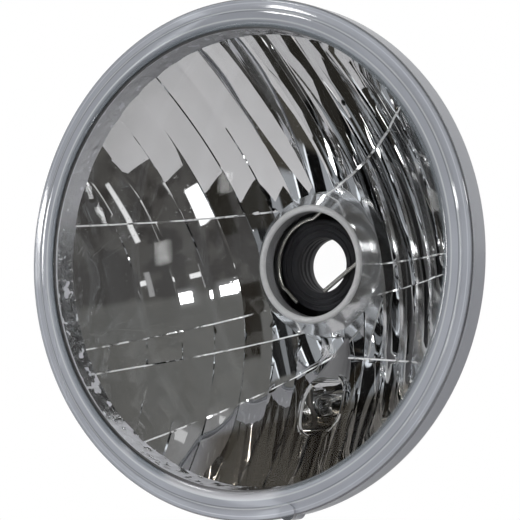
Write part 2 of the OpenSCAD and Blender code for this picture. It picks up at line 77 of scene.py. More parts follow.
class LampSizes(bpy.types.PropertyGroup):
    rim_radius: length("Rim radius", "Outer radius of the rim", 89.0)
    rim_depth: length("Rim depth", "Thickness of the rim, front to back", 10.2)
    band_width: length("Band width", "Width of the flat band round the lens", 10.0)
    dome_height: length("Dome height", "Height of the lens dome above the band", 20.0)
    lens_wall: length("Lens wall", "Wall of the dome and of the band", 3.0)
    skirt_wall: length("Skirt wall", "Wall of the rim's outer skirt", 2.8)
    rim_round: length("Rim round", "Radius of the rim's front edge", 1.2)
    rim_step_width: length("Rim step width", "Width of the rim's lower outer step", 4.4)
    rim_step: length("Rim step", "How far the outer step lies behind the band", 0.7)
    nub_diameter: length("Nub diameter", "Diameter of the locating nub", 5.6)
    nub_out: length("Nub height", "How far the nub stands out of the rim", 1.2)
    focal: length("Focal length", "Focal length of the bowl", 30.0)
    vertex_depth: length("Vertex depth", "Depth of the bowl's vertex behind the seat face", 51.0)
    bowl_wall: length("Bowl wall", "Moulded wall of the bowl", 2.8)
    flange_depth: length("Flange thickness", "Thickness of the rear flange", 3.0)
    ridge_width: length("Ridge width", "Width of the ridge in the rim's groove", 2.0)
    bulb_hole: length("Bulb hole", "Radius of the bulb hole", 19.0)
    collar_rise: length("Collar rise", "Height of the collar's front edge above the bowl's vertex", 12.6)
    lip_wall: length("Lip wall", "Wall of the collar's lip", 2.5)
    seat_depth: length("Seat depth", "Depth of the bulb's seat behind the collar's edge", 6.0)
    pocket_radius: length("Pocket radius", "Radius of the pocket behind the seat", 22.9)
    ledge_width: length("Ledge width", "Width of the ledge round the pocket", 3.4)
    neck_length: length("Neck length", "Length of the neck behind the ledge", 12.5)
    neck_wall: length("Neck wall", "Wall of the neck", 3.7)
    niche_radius: length("Niche radius", "Radius of the position lamp's niche", 8.2)
    niche_stretch: length("Niche stretch", "How far the niche's two centres lie above and below its middle", 2.0)
    niche_sink: length("Niche sink", "Depth of the niche's floor behind the bowl's surface", 12.0)
    socket_wall: length("Socket wall", "Wall of the socket tube round the niche", 1.8)
    fairing_radius: length("Fairing radius", "Radius of the fairing from the niche to the collar", 7.6)
    pilot_drop: length("Position lamp drop", "Distance of the position lamp below the axis", 52.0)
    vent_distance: length("Breather distance", "Distance of the breather from the lamp's axis", 60.0)
    ring_thickness: length("Ring thickness", "Thickness of the pressed seat ring", 0.8)
    wire_diameter: length("Wire diameter", "Diameter of the clip's spring wire", 1.6)
    leg_drop: length("Leg drop", "Distance of the clip's straight leg below the axis", 8.9)
    bow_inset: length("Bow inset", "How far the clip's bowed leg lies inside the bulb hole", 1.6)
    boot_hole: length("Boot hole", "Radius of the opening through the boot", 10.0)
    boot_tube: length("Boot tube", "Outer radius of the boot's front tube", 17.0)
    boot_length: length("Boot length", "Length of the boot's opening", 11.0)
    boot_wall: length("Boot wall", "Wall of the boot's sleeve", 2.6)
    boot_grip: length("Boot grip", "Length of the sleeve on the neck", 9.0)
    glass_diameter: length("Bulb glass", "Diameter of the small bulb's glass", 8.6)
    glass_length: length("Bulb glass length", "Length of the small bulb's glass in front of its cap", 13.0)


class FacetSizes(bpy.types.PropertyGroup):
    column_width: length("Column width", "Width of one facet column", 9.5)
    draft: length("Draft", "Width of the draft between two columns", 0.35)
    ledge: length("Ledge", "Width of the draft between two rows", 0.6)
    sag: length("Sag", "Sag across one facet", 0.37)
    low_sag: length("Lowest row's sag", "Sag across one facet of the lowest row", 0.46)
    step: length("Step", "Height of the steps between rows", 0.7)
    across: IntProperty(name="Cells across", description="Mesh cells across a facet", default=8, min=2, max=16)
    cell: length("Cell height", "Height of a mesh cell", 1.3)


class LampColours(bpy.types.PropertyGroup):
    mirror: colour("Mirror", "Aluminium coating of the bowl", (0.86, 0.865, 0.87))
    moulding: colour("Moulding", "Bare moulding on the back", (0.16, 0.16, 0.165))
    rim: colour("Rim", "Thick rim of the lens", (0.63, 0.655, 0.72))
    rubber: colour("Rubber", "Boot, grommet and breather cap", (0.013, 0.013, 0.015))
    steel: colour("Steel", "Plated steel", (0.62, 0.63, 0.65))
    brass: colour("Brass", "Contacts and bulb cap", (0.78, 0.62, 0.32))


# Meshes

def new_piece(name, vertices, faces, edges=()):
    """A mesh object at the origin, given in millimetres as (x, forward, z)."""
    mesh = bpy.data.meshes.new(name)
    mesh.from_pydata([(x * MM, -a * MM, z * MM) for x, a, z in vertices], edges, faces)
    mesh.update()
    piece = bpy.data.objects.new(name, mesh)
    bpy.context.scene.collection.objects.link(piece)
    return piece


def face_outwards(piece, merge=0.0):
    work = bmesh.new()
    work.from_mesh(piece.data)
    if merge:
        bmesh.ops.remove_doubles(work, verts=work.verts, dist=merge)
    bmesh.ops.recalc_face_normals(work, faces=work.faces)
    work.to_mesh(piece.data)
    work.free()


def skin(name, rings, joined=False, merge=0.0):
    """A closed solid over rings of points. Its ends are joined to each other, or capped."""
    n, last = len(rings[0]), len(rings) - 1
    faces = [] if joined else [tuple(range(n)), tuple(range(n * last + n - 1, n * last - 1, -1))]
    for i in range(last + joined):
        j = (i + 1) % len(rings)
        faces += [(i * n + k, i * n + (k + 1) % n, j * n + (k + 1) % n, j * n + k) for k in range(n)]
    piece = new_piece(name, [point for ring in rings for point in ring], faces)
    face_outwards(piece, merge)
    return piece


def turned(name, profile, steps=TURN_STEPS, centre=(0.0, 0.0)):
    """A closed (radius, forward) profile turned about an axis parallel to the lamp's."""
    rings = [[(centre[0] + r * math.cos(t), a, centre[1] + r * math.sin(t)) for r, a in profile]
             for t in (2 * math.pi * i / steps for i in range(steps))]
    return skin(name, rings, True, DOUBLES)


def rod(name, x, z, a0, a1, radius, steps=64):
    """A plain cylinder along the lamp's axis direction."""
    return turned(name, [(0, a0), (radius, a0), (radius, a1), (0, a1)], steps, (x, z))


def keep_result(piece):
    """Makes what a piece's modifiers give its plain mesh."""
    result = bpy.data.meshes.new_from_object(piece.evaluated_get(bpy.context.evaluated_depsgraph_get()))
    piece.modifiers.clear()
    old = piece.data
    result.name = old.name
    piece.data = result
    bpy.data.meshes.remove(old)


def cut(piece, tool, operation="DIFFERENCE"):
    """Applies one boolean and removes the tool."""
    change = piece.modifiers.new("cut", "BOOLEAN")
    change.solver = "MANIFOLD"
    change.operation = operation
    change.object = tool
    keep_result(piece)
    bpy.data.objects.remove(tool)
    return piece


def smooth(piece, degrees):
    for face in piece.data.polygons:
        face.use_smooth = True
    piece.data.set_sharp_from_angle(angle=math.radians(degrees))


def settle(piece, node):
    """Hands a finished piece to the frame: it rides on the lamp and stands for a CAD node."""
    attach(piece, "root")
    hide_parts(node)


def paint(piece, made):
    piece.data.materials.clear()
    piece.data.materials.append(made)


def dress(piece, made, node, degrees=40.0):
    """Gives a finished mesh its material and hands it over."""
    paint(piece, made)
    smooth(piece, degrees)
    settle(piece, node)


# Node expressions

class Value:
    """A node socket that takes part in Python expressions."""

    def __init__(self, graph, socket):
        self.graph = graph
        self.socket = socket

    def __add__(self, other):
        return self.graph.maths("ADD", self, other)

    def __radd__(self, other):
        return self.graph.maths("ADD", other, self)

    def __sub__(self, other):
        return self.graph.maths("SUBTRACT", self, other)

    def __rsub__(self, other):
        return self.graph.maths("SUBTRACT", other, self)

    def __mul__(self, other):
        return self.graph.maths("MULTIPLY", self, other)

    def __rmul__(self, other):
        return self.graph.maths("MULTIPLY", other, self)

    def __truediv__(self, other):
        return self.graph.maths("DIVIDE", self, other)

    def step(self, low, high):
        """0 below low, 1 above high, smooth between them. high may lie below low."""
        return self.graph.add("ShaderNodeMapRange", {"interpolation_type": "SMOOTHSTEP"},
                              {"Value": self, "From Min": low, "From Max": high})


class Graph:
    """Adds nodes to one node tree."""

    def __init__(self, tree):
        self.tree = tree
        tree.nodes.clear()

    def add(self, kind, settings=None, sockets=None, output=0):
        node = self.tree.nodes.new(kind)
        for name, value in (settings or {}).items():
            setattr(node, name, value)
        for name, value in (sockets or {}).items():
            if isinstance(value, Value):
                self.tree.links.new(value.socket, node.inputs[name])
            else:
                node.inputs[name].default_value = value
        return Value(self, node.outputs[output]) if len(node.outputs) else node

    def maths(self, operation, a, b=0.0):
        return self.add("ShaderNodeMath", {"operation": operation}, {0: a, 1: b})

    def most(self, a, b):
        return self.maths("MAXIMUM", a, b)

    def mix(self, factor, a, b):
        """Mixes two colours."""
        return self.add("ShaderNodeMix", {"data_type": "RGBA"}, {0: factor, 6: a, 7: b}, output=2)

    def parts(self, vector, factor=1000.0):
        """A vector's x, y and z as values, in millimetres."""
        return [self.add("ShaderNodeSeparateXYZ", sockets={0: vector}, output=i) * factor for i in range(3)]

    def noise(self, vector, scale, detail=2.0, roughness=0.5):
        return self.add("ShaderNodeTexNoise", sockets={
            "Vector": vector, "Scale": scale, "Detail": detail, "Roughness": roughness})

    def bump(self, height, strength, distance_mm):
        return self.add("ShaderNodeBump", sockets={
            "Height": height, "Strength": strength, "Distance": distance_mm * MM})

    def principled(self, base, roughness, **more):
        """A Principled shader. Its further sockets are named with underscores for spaces."""
        sockets = {name.replace("_", " "): value for name, value in more.items()}
        return self.add("ShaderNodeBsdfPrincipled", sockets={"Base Color": base, "Roughness": roughness, **sockets})

    def surface(self, shader):
        self.add("ShaderNodeOutputMaterial", sockets={"Surface": shader})


def rgba(shade):
    return (*shade, 1.0)


def times(shade, factor):
    """A colour times one factor, or times one for each channel."""
    factors = factor if isinstance(factor, tuple) else (factor,) * 3
    return rgba([min(1.0, c * f) for c, f in zip(shade, factors)])


def material(name):
    """A new material, its graph and its Object coordinates."""
    made = bpy.data.materials.new(name)
    made.use_nodes = True
    g = Graph(made.node_tree)
    return made, g, g.add("ShaderNodeTexCoord", output=3)


def mirror_material(colours, column):
    """Bright aluminium coating, duller in the lowest row, with painted dark reflections in bands down the columns at
    the right.
    """
    made, g, vector = material("aluminised_mirror")
    x, _, z = g.parts(vector)
    haze = g.noise(vector, 60.0, 3.0)
    speck = g.noise(vector, 900.0, 1.0)
    rough = 0.012 + haze * 0.016 + speck.step(0.66, 0.74) * 0.1
    base = g.mix(haze.step(0.35, 0.75), rgba(colours.mirror), times(colours.mirror, 0.94))
    # Painted dark reflections: the mirror's colour darkened in bands down the facet columns at the right.
    painted_dark_reflection = g.maths("COSINE", x * (2 * math.pi / column)).step(-0.4, 0.0) * x.step(22.0, 25.0)
    painted_dark_reflection = painted_dark_reflection * z.step(-38.0, -30.0) * z.step(40.0, 28.0)
    base = g.mix(painted_dark_reflection, base, times(colours.mirror, 0.16))
    low = z.step(-51.0, -55.0) * x.step(-46.0, -34.0)
    base = g.mix(low, base, times(colours.mirror, (0.50, 0.45, 0.38)))
    ripple = g.bump(g.noise(vector, 26.0, 1.0), 0.25, 0.12)
    g.surface(g.principled(base, rough, Metallic=1.0, Normal=ripple))
    return made


def grained_material(name, shade, tone, stain, grain, rough, bump, metallic=0.0):
    """Stains in a second tone of a colour, and a grain that adds roughness and bumps.

    Stain and grain start with their noise's scale and detail. Rough is its least value and what the grain adds.
    """
    made, g, vector = material(name)
    grain = g.noise(vector, *grain)
    scale, detail, low, high = stain
    base = g.mix(g.noise(vector, scale, detail).step(low, high), rgba(shade), times(shade, tone))
    g.surface(g.principled(base, rough[0] + grain * rough[1], Metallic=metallic, Normal=g.bump(grain, *bump)))
    return made


def moulding_material(colours):
    return grained_material("bare_moulding", colours.moulding, 1.35, (24.0, 3.0, 0.3, 0.7), (420.0, 4.0),
                            (0.46, 0.22), (0.35, 0.12))


def rubber_material(colours):
    return grained_material("black_rubber", colours.rubber, 1.9, (45.0, 4.0, 0.45, 0.8), (700.0, 3.0),
                            (0.55, 0.2), (0.25, 0.08))


def metal_material(name, shade, roughness=0.28, scale=300.0):
    return grained_material(name, shade, 0.78, (55.0, 3.0, 0.35, 0.75), (scale, 4.0),
                            (roughness, 0.15), (0.15, 0.05), 1.0)


def soft_mirror_material(colours):
    """The collar's cone, whose coating blurs what it reflects."""
    made, g, vector = material("soft_mirror")
    cloud = g.noise(vector, 40.0, 2.0)
    base = g.mix(cloud, rgba(colours.mirror), times(colours.mirror, 0.9))
    g.surface(g.principled(base, 0.13 + cloud * 0.06, Metallic=0.88))
    return made


def wall_material(colours, edge):
    """The steep wall round the bowl's mouth, whose uneven coating glitters, with a bright front edge and painted
    highlights in patches at the upper and lower left.
    """
    made, g, vector = material("mouth_wall")
    x, y, z = g.parts(vector)
    grain = g.noise(vector, 260.0, 3.0)
    flecks_and_painted_highlights = g.most(g.noise(vector, 210.0, 2.0).step(0.58, 0.62), (y * -1.0).step(edge - 0.9, edge - 0.4))
    # Painted highlights: bright patches on the wall at the upper left and the lower left.
    flecks_and_painted_highlights = g.most(flecks_and_painted_highlights, z.step(18.0, 44.0) * x.step(38.0, 0.0) * 0.75)
    flecks_and_painted_highlights = g.most(flecks_and_painted_highlights, z.step(-36.0, -44.0) * x.step(-18.0, -26.0) * grain.step(0.35, 0.5))
    base = g.mix(flecks_and_painted_highlights, times(colours.mirror, 0.8), rgba((0.86, 0.87, 0.92)))
    g.surface(g.principled(base, 0.05 + flecks_and_painted_highlights * 0.2, Metallic=1.0 - flecks_and_painted_highlights * 0.85, Normal=g.bump(grain, 1.0, 1.0)))
    return made


def satin_material(colours):
    """Rounded edges, where the coating scatters more light."""
    made, g, vector = material("satin_edge")
    cloud = g.noise(vector, 70.0, 3.0)
    base = g.mix(cloud, times(colours.mirror, 0.72), times(colours.mirror, 0.58))
    g.surface(g.principled(base, 0.3 + cloud * 0.1, Metallic=0.15, Specular_IOR_Level=0.8))
    return made


def ledge_material(colours):
    """The narrow steps between rows: bright where the coating is rough, mirror elsewhere."""
    made, g, vector = material("row_step")
    streak = g.noise(vector, 150.0, 2.0).step(0.42, 0.55)
    base = g.mix(streak, rgba(colours.mirror), times(colours.mirror, 1.1))
    g.surface(g.principled(base, 0.06 + streak * 0.3, Metallic=1.0 - streak * 0.9))
    return made


def lens_material(colours, sizes):
    """Clear dome and a thicker, faintly milky rim, with painted highlights on its ridges and at its lower left, and
    painted shade on its skirt, at its outline and where it turns away.
    """
    made, g, vector = material("lens_glass")
    x, y, z = g.parts(vector)
    radius = g.maths("SQRT", x * x + z * z)
    forward = y * -1.0
    band = (sizes.rim_radius - sizes.band_width) / MM
    rim = radius.step(band - 0.3, band + 0.3) * 0.6 + radius.step(band + 0.4, band + 3.0) * 0.4
    clear = g.principled(rgba((1.0, 1.0, 1.0)), 0.0, IOR=1.2, Transmission_Weight=1.0)
    lamplight = g.add("ShaderNodeLightPath", output=1)
    clear = g.add("ShaderNodeMixShader", sockets={0: lamplight, 1: clear, 2: g.add("ShaderNodeBsdfTransparent")})
    flow = g.noise(vector, 22.0, 2.0)
    shade = g.mix(flow.step(0.3, 0.7), rgba(colours.rim), times(colours.rim, 0.84))
    shade = g.mix(radius.step(band + 2.6, band - 0.2), shade, times(colours.rim, (0.50, 0.56, 0.56)))
    # Painted highlight: a near-white patch on the band's inner edge at the lower left.
    painted_highlight = radius.step(band + 3.2, band + 2.2) * flow.step(0.36, 0.44)
    painted_highlight = painted_highlight * z.step(-46.0, -54.0) * x.step(4.0, -8.0)
    shade = g.mix(painted_highlight, shade, rgba((0.93, 0.93, 0.97)))
    # Painted highlights and a painted dark line along the rim's ridges.
    for distance, half, tone in PAINTED_RIDGE_LIGHT_AND_SHADE:
        ridge = band + distance
        line = radius.step(ridge - half, ridge) * radius.step(ridge + half, ridge) * forward.step(8.6, 9.0)
        shade = g.mix(line, shade, times(colours.rim, tone))
    # Painted shade: dark at the rim's outer rounding and back edge, and where the surface turns away from view.
    turn = g.add("ShaderNodeLayerWeight", sockets={"Blend": 0.5}, output=1)
    outline = g.most(radius.step(band + 9.1, band + 9.7) * forward.step(8.3, 8.9), forward.step(1.5, 0.5))
    outline = g.most(outline, turn.step(0.80, 0.97))
    shade = g.mix(outline, shade, times(colours.rim, 0.22))
    # Painted shade: the rim's outer skirt darker than its front.
    skirt = forward.step(8.7, 8.2) * radius.step(band + 7.5, band + 8.5)
    shade = g.mix(skirt, shade, times(colours.rim, 0.66))
    dull = g.most(skirt, x.step(-79.0, -84.0))
    milky = g.principled(
        shade, 0.05 + flow * 0.05 + dull * 0.3, IOR=1.55, Transmission_Weight=0.4,
        Coat_Weight=1.0 - dull * 0.8, Coat_Roughness=0.03, Coat_IOR=1.7)
    g.surface(g.add("ShaderNodeMixShader", sockets={0: rim, 1: clear, 2: milky}))
    return made


def plain_material(name, shade, roughness, transmission=0.0):
    made, g, vector = material(name)
    base = g.mix(g.noise(vector, 80.0, 3.0), rgba(shade), times(shade, 0.88))
    g.surface(g.principled(base, roughness, IOR=1.48, Transmission_Weight=transmission))
    return made


# Geometry trees

def tree_with(name, inputs):
    """A geometry tree with named inputs, and those inputs as values."""
    tree = bpy.data.node_groups.new(name, "GeometryNodeTree")
    g = Graph(tree)
    for title, kind in [("Geometry", "NodeSocketGeometry")] + inputs + [("Material", "NodeSocketMaterial")]:
        tree.interface.new_socket(title, in_out="INPUT", socket_type=kind)
    tree.interface.new_socket("Geometry", in_out="OUTPUT", socket_type="NodeSocketGeometry")
    start = tree.nodes.new("NodeGroupInput")
    return g, {socket.name: Value(g, socket) for socket in start.outputs if socket.name}


def end_tree(g, solid, given):
    solid = g.add("GeometryNodeRealizeInstances", sockets={"Geometry": solid})
    solid = g.add("GeometryNodeSetMaterial", sockets={"Geometry": solid, "Material": given["Material"]})
    g.add("NodeGroupOutput", sockets={0: solid})
    return g.tree


def copies_tree():
    """Copies of one piece, evenly turned about the lamp's axis."""
    g, given = tree_with("turned_copies", [("Count", "NodeSocketInt"), ("First Turn", "NodeSocketFloat")])
    points = g.add("GeometryNodeMeshLine", sockets={"Count": given["Count"], "Offset": (0.0, 0.0, 0.0)})
    angle = given["First Turn"] + g.add("GeometryNodeInputIndex") * (2 * math.pi) / given["Count"]
    turn = g.add("ShaderNodeCombineXYZ", sockets={"Y": angle})
    solid = g.add("GeometryNodeInstanceOnPoints", sockets={
        "Points": points, "Instance": given["Geometry"], "Rotation": turn})
    return end_tree(g, solid, given)


def wire_tree():
    """A round wire along a line of points, rounded at its bends."""
    g, given = tree_with("wire_along_line", [
        ("Radius", "NodeSocketFloat"), ("Points", "NodeSocketInt"), ("Sides", "NodeSocketInt")])
    line = g.add("GeometryNodeMeshToCurve", sockets={0: given["Geometry"]})
    line = g.add("GeometryNodeCurveSplineType", {"spline_type": "CATMULL_ROM"}, {"Curve": line})
    line = g.add("GeometryNodeResampleCurve", sockets={"Curve": line, "Count": given["Points"]})
    ring = g.add("GeometryNodeCurvePrimitiveCircle", sockets={"Resolution": given["Sides"], "Radius": given["Radius"]})
    solid = g.add("GeometryNodeCurveToMesh", sockets={"Curve": line, "Profile Curve": ring, "Fill Caps": True})
    return end_tree(g, solid, given)


def grow(piece, tree, **given):
    """Runs a geometry tree on a piece and keeps its result as a plain mesh."""
    change = piece.modifiers.new(tree.name, "NODES")
    change.node_group = tree
    for item in tree.interface.items_tree:
        key = item.name.lower().replace(" ", "_")
        if item.in_out == "INPUT" and key in given:
            change[item.identifier] = given[key]
    piece.update_tag()
    keep_result(piece)
    face_outwards(piece)
    return piece


def line_piece(name, points):
    """A mesh of edges through points, for a wire tree."""
    return new_piece(name, points, [], [(i, i + 1) for i in range(len(points) - 1)])


# The lamp's own geometry, in millimetres

class Lamp:
    """Every size of the lamp in millimetres, and what follows from them."""

    def __init__(self, sizes):
        for name in sizes.bl_rna.properties.keys():
            if name not in ("rna_type", "name"):
                setattr(self, name, getattr(sizes, name) / MM)
        bowl_gap, socket_length, socket_floor, ledge_drop, vent_foot = 0.8, 9.6, 2.6, 5.4, 4.8
        self.band_radius = self.rim_radius - self.band_width
        self.band_back = self.rim_depth - self.lens_wall
        self.dome_radius = (self.band_radius ** 2 + self.dome_height ** 2) / (2 * self.dome_height)
        self.dome_centre = self.rim_depth + self.dome_height - self.dome_radius
        self.groove_radius = self.rim_radius - self.skirt_wall
        inner = self.dome_radius - self.lens_wall
        self.land_radius = math.sqrt(inner ** 2 - (self.band_back - self.dome_centre) ** 2)
        self.land_width = 2.0
        self.bowl_radius = self.land_radius - bowl_gap
        self.flange_radius = self.groove_radius - 0.3
        self.ridge_radius = (self.land_radius + self.land_width + self.groove_radius) / 2
        self.sealant_gap = 0.6
        self.lip_front = self.collar_rise - self.vertex_depth
        self.niche = self.bowl(self.pilot_drop) - self.niche_sink
        self.socket_radius = self.niche_radius + self.socket_wall
        self.socket_end = self.niche - socket_length
        self.lip_radius = self.bulb_hole + self.lip_wall
        self.seat = self.lip_front - self.seat_depth
        self.collar_base = self.pocket_radius + 3
        self.neck_inner = self.pocket_radius + self.ledge_width
        self.neck_radius = self.neck_inner + self.neck_wall
        self.ledge = self.seat - ledge_drop
        self.neck_end = self.ledge - self.neck_length
        self.socket_back = self.niche - socket_floor
        self.vent_back = self.bowl_back(self.vent_distance - vent_foot)
        self.vent_x = self.vent_distance * math.cos(math.radians(VENT_DIRECTION))
        self.vent_z = self.vent_distance * math.sin(math.radians(VENT_DIRECTION))
        self.boot_front = self.seat - self.ring_thickness - self.wire_diameter - 0.5
        self.boot_hole_end = self.boot_front - self.boot_length
        self.boot_end = min(self.neck_end - self.boot_wall, self.boot_hole_end - 2.5)
        self.sleeve_radius = self.neck_radius + self.boot_wall
        self.bulb_foot = self.niche + 2.4
        self.lead_end = self.bulb_foot + 3.4 + self.glass_length - 8

    def bowl(self, r):
        return -self.vertex_depth + r * r / (4 * self.focal)

    def bowl_back(self, r):
        return self.bowl(r) - self.bowl_wall * math.sqrt(1 + (r / (2 * self.focal)) ** 2)

    def bowl_back_radius(self, a):
        """Radius at which the bowl's back reaches a depth, by bisection."""
        low, high = self.neck_radius, self.rim_radius
        for _ in range(40):
            middle = (low + high) / 2
            if self.bowl_back(middle) < a:
                low = middle
            else:
                high = middle
        return low


def circle(centre, radius, out, other, steps):
    """Points round a centre, in the plane of two directions."""
    return [tuple(centre + radius * (out * math.cos(t) + other * math.sin(t)))
            for t in (2 * math.pi * i / steps for i in range(steps))]


def arc(centre, radius, start, end, steps):
    """Points along an arc of a profile, between two angles in degrees."""
    return [(centre[0] + radius * math.cos(t), centre[1] + radius * math.sin(t))
            for t in (math.radians(start + (end - start) * i / steps) for i in range(steps + 1))]


# Facets of the reflector

# Row borders from the bottom up: height at the axis, then slope outwards on the left and on the right
ROWS = [None, (-34.5, -0.28, -0.28), (-22.5, 0.0, 0.0), (-9.5, -0.045, -0.1), (22.0, 0.14, 0.2), None]
RIGHT_ROWS = {2: (-14.5, -0.11), 3: (-1.2, -0.21)}


def whim(c, k):
    """A repeatable number from -1 to 1 for a facet."""
    v = math.sin(math.radians(c * 97.3 + k * 151.7 + 31)) * 43.7
    return 2 * (v - math.floor(v)) - 1


class Facets:
    """The field of facets: upright columns, crossed by rows whose borders run aslant."""

    def __init__(self, lamp, facet_sizes):
        self.lamp = lamp
        self.width = facet_sizes.column_width / MM
        self.draft = facet_sizes.draft / MM
        self.ledge = facet_sizes.ledge / MM
        self.sag = facet_sizes.sag / MM
        self.low_sag = facet_sizes.low_sag / MM
        self.step = facet_sizes.step / MM
        self.across = facet_sizes.across
        self.cell = facet_sizes.cell / MM
        self.edge = lamp.bowl_radius + 3
        self.columns = math.ceil(lamp.bowl_radius / self.width - 0.5)

    def line(self, k, x):
        """Height of a row's lower border."""
        if ROWS[k] is None:
            return -self.edge if k == 0 else self.edge
        start, left, right = ROWS[k]
        if x > 0 and k in RIGHT_ROWS:
            start, right = RIGHT_ROWS[k]
        return start + (right * x if x > 0 else -left * x)

    def height(self, c, k, u, v):
        """A facet's crown across, and its own tilt and lift. u and v run from -1 to 1 over it."""
        sag = self.low_sag if k == 0 else self.sag
        tilt = 0.5 * whim(c, k) * v + 0.3 * whim(c + 3, k + 1) * u
        return sag * (1 - u * u) + self.step * (tilt + 0.45 * whim(k, 3) + 0.25 * whim(c + 7, k + 2))

    def space(self, name):
        """Everything in front of the facets, as one closed solid."""
        lines = []
        for c in range(-self.columns, self.columns + 1):
            for i in range(self.across + 1):
                u = 2 * i / self.across - 1
                lines.append((c, u, self.width * (c + u / 2) - u * self.draft / 2))
        grid = []
        spans = [self.line(k, 0) for k in range(len(ROWS))]
        counts = [max(2, round((spans[k + 1] - spans[k]) / self.cell)) for k in range(len(ROWS) - 1)]
        for c, u, x in lines:
            row = []
            for k, count in enumerate(counts):
                low, high = self.line(k, x) + self.ledge / 2, self.line(k + 1, x) - self.ledge / 2
                for j in range(count + 1):
                    v = 2 * j / count - 1
                    z = low + (high - low) * (v + 1) / 2
                    row.append((x, self.lamp.bowl(math.hypot(x, z)) + self.height(c, k, u, v), z))
            grid.append(row)
        nx, nz = len(grid), len(grid[0])
        vertices = [p for row in grid for p in row]
        faces = [(i * nz + j, (i + 1) * nz + j, (i + 1) * nz + j + 1, i * nz + j + 1)
                 for i in range(nx - 1) for j in range(nz - 1)]
        return self.close(name, vertices, faces, nx, nz)

    def close(self, name, vertices, faces, nx, nz, top=60.0):
        """Walls from the field's border up to a flat top."""
        border = ([i * nz for i in range(nx)] + [(nx - 1) * nz + j for j in range(1, nz)]
                  + [i * nz + nz - 1 for i in range(nx - 2, -1, -1)] + [j for j in range(nz - 2, 0, -1)])
        start = len(vertices)
        vertices += [(vertices[i][0], top, vertices[i][2]) for i in border]
        count = len(border)
        for i in range(count):
            j = (i + 1) % count
            faces.append((border[i], border[j], start + j, start + i))
        faces.append(tuple(start + i for i in range(count)))
        piece = new_piece(name, vertices, faces)
        face_outwards(piece)
        return piece


# Lamps and windows of the room, in degrees from straight ahead: left, right, low, high, and brightness
BRIGHT_PLACES = [
    (37.0, 43.0, 6.0, 11.0, 9.0), (29.5, 37.0, 7.0, 12.0, 9.0), (44.5, 49.5, -2.6, -0.9, 1.0),
    (29.5, 38.0, -43.0, -27.5, 1.6), (51.4, 52.6, -42.0, -20.0, 0.9), (50.2, 51.4, -6.0, 5.0, 0.35),
    (24.0, 44.0, 73.0, 76.0, 0.6), (-48.0, -44.0, 12.0, 16.0, 12.0), (-27.0, -24.0, 24.0, 28.0, 12.0),
    (-8.0, -5.0, -22.0, -19.0, 10.0)]

# Upright strips of light in the dark left part of the room: left, right and brightness
STRIPS = [
    (-68.0, -57.0, 0.27), (-56.6, -55.8, 1.0), (-45.0, -33.0, 0.34), (-33.6, -32.6, 1.3), (-24.0, -15.0, 0.30),
    (-15.0, -14.3, 1.0), (-5.0, -1.0, 0.20)]


# Operators

def sizes_now():
    return Lamp(bpy.context.scene.headlight_sizes)


